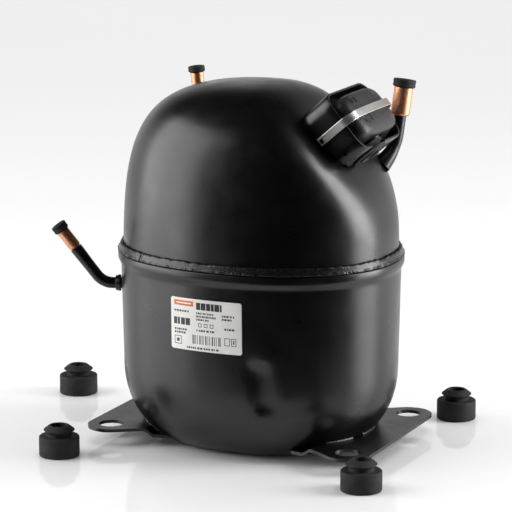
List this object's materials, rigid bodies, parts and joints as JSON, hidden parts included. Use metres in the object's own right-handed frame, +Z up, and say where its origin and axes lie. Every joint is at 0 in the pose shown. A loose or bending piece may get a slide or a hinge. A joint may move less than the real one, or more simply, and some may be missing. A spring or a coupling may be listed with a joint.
{
  "type": "hermetic reciprocating compressor",
  "caption": "Hermetic reciprocating refrigeration compressor: black welded steel shell on foot plates, clipped terminal box, capped copper stubs, sprung pump and motor inside.",
  "frame": {"origin": "centre of the flat belly of the lower shell, on the surface the compressor stands on", "axes": "+X towards the terminal box and the right foot plate, -Y towards the rating label, +Z up along the crankshaft"},
  "size_m": [0.3552, 0.2602, 0.2856],
  "materials": {
    "black_enamel": "satin black stoving enamel on drawn steel",
    "copper": "bare copper tube, lightly tarnished",
    "rubber": "matte moulded rubber with a fine grain",
    "moulded_plastic": "satin black moulding",
    "spring_steel": "bright rolled spring steel",
    "label_film": "printed silver-white film",
    "cast_iron": "as-cast grey iron",
    "lamination": "stacked electrical steel",
    "enamelled_wire": "varnished copper winding",
    "aluminium": "die cast and machined",
    "ground_steel": "ground and turned steel",
    "gasket": "fibre gasket sheet"
  },
  "bodies": {
    "housing": {"cable_grommet": "rubber", "discharge_stub": "copper", "discharge_tube": "black_enamel", "foot_bracket_left": "black_enamel", "foot_bracket_right": "black_enamel", "girth_weld": "black_enamel", "hermetic_terminal": "ground_steel", "lower_shell": "black_enamel", "process_ferrule": "black_enamel", "process_stub": "copper", "process_tube": "black_enamel", "rating_label": "label_film", "spring_seat_1": "black_enamel", "spring_seat_2": "black_enamel", "spring_seat_3": "black_enamel", "spring_seat_4": "black_enamel", "suction_stub": "copper", "suction_tube": "black_enamel", "suspension_spring_1": "spring_steel", "suspension_spring_2": "spring_steel", "suspension_spring_3": "spring_steel", "suspension_spring_4": "spring_steel", "terminal_block": "moulded_plastic", "terminal_fence": "black_enamel", "terminal_pin_1": "ground_steel", "terminal_pin_2": "ground_steel", "terminal_pin_3": "ground_steel", "upper_shell": "black_enamel"},
    "cover": {"terminal_cover": "moulded_plastic"},
    "clip": {"cover_clip": "spring_steel"},
    "suction_plug": {"suction_cap": "rubber"},
    "discharge_plug": {"discharge_cap": "rubber"},
    "process_plug": {"process_cap": "rubber"},
    "pump": {"stator_core": "lamination", "winding_upper": "enamelled_wire", "winding_lower": "enamelled_wire", "stator_bolt_1": "ground_steel", "stator_bolt_2": "ground_steel", "stator_bolt_3": "ground_steel", "stator_bolt_4": "ground_steel", "cylinder_block": "cast_iron", "head_gasket": "gasket", "valve_plate": "ground_steel", "cylinder_head": "cast_iron", "suction_muffler": "moulded_plastic", "discharge_muffler": "cast_iron", "discharge_loop": "copper"},
    "crank": {"crankshaft": "ground_steel", "rotor_core": "lamination", "rotor_counterweight": "ground_steel", "oil_pickup": "aluminium"},
    "piston": {"piston": "aluminium", "wrist_pin": "ground_steel"},
    "rod": {"connecting_rod": "aluminium"},
    "suction_valve": {"suction_reed": "spring_steel"},
    "discharge_valve": {"discharge_reed": "spring_steel"},
    "rubber_mount_1": {"mount_grommet_1": "rubber"},
    "rubber_mount_2": {"mount_grommet_2": "rubber"},
    "rubber_mount_3": {"mount_grommet_3": "rubber"},
    "rubber_mount_4": {"mount_grommet_4": "rubber"}
  },
  "joints": [
    {"name": "cover_lift", "type": "slide", "parent": "housing", "child": "cover", "axis": [0.7547, 0, 0.6561], "range_m": [0, 0.03]},
    {"name": "clip_swing", "type": "hinge", "parent": "cover", "child": "clip", "pos_m": [0.06751, -0.0406, 0.24671], "axis": [0.6561, 0, -0.7547], "range_deg": [0, 90]},
    {"name": "suction_cap_pull", "type": "slide", "parent": "housing", "child": "suction_plug", "axis": [0.0863, 0.1397, 0.9864], "range_m": [0, 0.016]},
    {"name": "discharge_cap_pull", "type": "slide", "parent": "housing", "child": "discharge_plug", "axis": [-0.0896, -0.0299, 0.9955], "range_m": [0, 0.016]},
    {"name": "process_cap_pull", "type": "slide", "parent": "housing", "child": "process_plug", "axis": [-0.5475, -0.2497, 0.7987], "range_m": [0, 0.016]},
    {"name": "pump_bounce", "type": "slide", "parent": "housing", "child": "pump", "axis": [0, 0, 1], "range_m": [-0.004, 0.004], "stiffness_N_per_m": 18000, "springref_m": 0.00671, "deforming": ["suspension_spring_1", "suspension_spring_2", "suspension_spring_3", "suspension_spring_4"]},
    {"name": "crank_turn", "type": "hinge", "parent": "pump", "child": "crank", "pos_m": [0, 0, 0.18], "axis": [0, 0, 1], "range_deg": [-24, 24]},
    {"name": "piston_slide", "type": "slide", "parent": "pump", "child": "piston", "axis": [1, 0, 0], "range_m": [-0.005, 0.005]},
    {"name": "rod_swing", "type": "hinge", "parent": "piston", "child": "rod", "pos_m": [-0.05475, 0, 0.196], "axis": [0, 0, 1], "range_deg": [-3, 3]},
    {"name": "suction_reed_bend", "type": "hinge", "parent": "pump", "child": "suction_valve", "pos_m": [-0.07655, -0.006, 0.183], "axis": [0, 1, 0], "range_deg": [0, 8], "stiffness_Nm_per_rad": 0.05},
    {"name": "discharge_reed_bend", "type": "hinge", "parent": "pump", "child": "discharge_valve", "pos_m": [-0.081, 0.008, 0.183], "axis": [0, -1, 0], "range_deg": [0, 8], "stiffness_Nm_per_rad": 0.05},
    {"name": "mount_1_lift", "type": "slide", "parent": "housing", "child": "rubber_mount_1", "axis": [0, 0, 1], "range_m": [0, 0.04]},
    {"name": "mount_2_lift", "type": "slide", "parent": "housing", "child": "rubber_mount_2", "axis": [0, 0, 1], "range_m": [0, 0.04]},
    {"name": "mount_3_lift", "type": "slide", "parent": "housing", "child": "rubber_mount_3", "axis": [0, 0, 1], "range_m": [0, 0.04]},
    {"name": "mount_4_lift", "type": "slide", "parent": "housing", "child": "rubber_mount_4", "axis": [0, 0, 1], "range_m": [0, 0.04]}
  ],
  "couplings": [
    {"joint": "piston_slide", "follows": "crank_turn", "m_per_rad": 0.011128},
    {"joint": "rod_swing", "follows": "crank_turn", "ratio": -0.11735}
  ]
}
